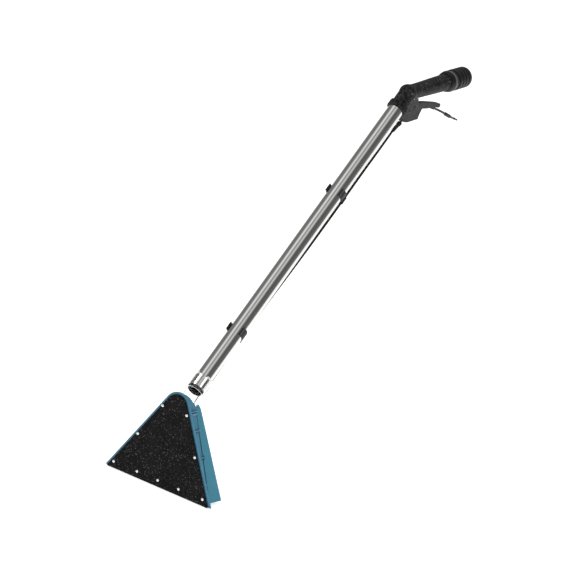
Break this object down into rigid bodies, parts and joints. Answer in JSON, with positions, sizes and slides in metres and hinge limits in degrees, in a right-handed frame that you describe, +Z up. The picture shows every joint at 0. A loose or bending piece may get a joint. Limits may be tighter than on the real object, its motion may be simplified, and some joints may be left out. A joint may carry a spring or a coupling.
{
  "type": "carpet extraction wand",
  "caption": "Carpet cleaning wand: triangular suction head, clear neck, polished tube, and a bent handle with a trigger valve, solution hose and swivelling hose cuff.",
  "frame": {"origin": "middle of the hand grip, on its axis, where the user's hand holds the wand up", "axes": "+X to the user's right, across the head; +Y back from the head's front plate towards the user; +Z up from the floor that the lips stand on"},
  "size_m": [0.2856, 0.9879, 0.9393],
  "materials": {
    "plate_black": "speckled moulded sheet",
    "screw_steel": "bright steel",
    "gasket_rubber": "matte",
    "head_blue": "satin",
    "hood_blue": "satin",
    "lip_steel": "worn steel",
    "brass": "machined",
    "clear_plastic": "clear polycarbonate",
    "polished_steel": "mirror-polished stainless steel",
    "clip_black": "matte",
    "hose_black": "matte",
    "handle_black": "fine mottled texture",
    "cuff_black": "satin",
    "ring_grey": "satin",
    "spring_steel": "plain"
  },
  "bodies": {
    "wand": {"front_plate": "plate_black", "plate_gasket": "gasket_rubber", "head_body": "head_blue", "front_lip": "lip_steel", "rear_lip": "lip_steel", "spray_hood": "hood_blue", "jet_manifold": "brass", "spray_jet_left": "brass", "spray_jet_right": "brass", "hose_barb": "brass", "clear_neck": "clear_plastic", "tube_seal": "gasket_rubber", "wand_tube": "polished_steel", "lower_clip": "clip_black", "upper_clip": "clip_black", "solution_hose": "hose_black", "handle_grip": "handle_black", "collar_nut": "handle_black", "handle_seal": "gasket_rubber", "cuff_sleeve": "cuff_black", "retaining_ring": "ring_grey", "housing_left": "handle_black", "housing_right": "handle_black", "lever_pin": "spring_steel", "housing_screw": "spring_steel", "valve_body": "brass", "valve_spring": "spring_steel", "outlet_pipe": "brass", "outlet_nut": "clip_black", "outlet_ferrule": "clip_black", "inlet_pipe": "brass", "inlet_nut": "clip_black", "inlet_hose": "hose_black", "inlet_ferrule": "clip_black", "inlet_plug": "spring_steel", "plate_screw_1": "screw_steel", "plate_screw_2": "screw_steel", "plate_screw_3": "screw_steel", "plate_screw_4": "screw_steel", "plate_screw_5": "screw_steel", "plate_screw_6": "screw_steel", "plate_screw_7": "screw_steel", "plate_screw_8": "screw_steel", "plate_screw_9": "screw_steel"},
    "trigger": {"trigger_lever": "handle_black"},
    "plunger": {"valve_plunger": "spring_steel"},
    "cuff": {"hose_cuff": "cuff_black"}
  },
  "joints": [
    {"name": "trigger_pivot", "type": "hinge", "parent": "wand", "child": "trigger", "pos_m": [0, -0.07, -0.043], "axis": [1, 0, 0], "range_deg": [0, 10.5], "stiffness_Nm_per_rad": 2, "springref_deg": -5.73},
    {"name": "plunger_slide", "type": "slide", "parent": "wand", "child": "plunger", "axis": [0, 0, -1], "range_m": [0, 0.00195], "deforming": ["valve_spring"]},
    {"name": "cuff_swivel", "type": "hinge", "parent": "wand", "child": "cuff", "pos_m": [0, 0.1263, 0.01535], "axis": [0, 0.9925, 0.1219], "continuous": true}
  ],
  "couplings": [
    {"joint": "plunger_slide", "follows": "trigger_pivot", "m_per_rad": 0.0105}
  ]
}
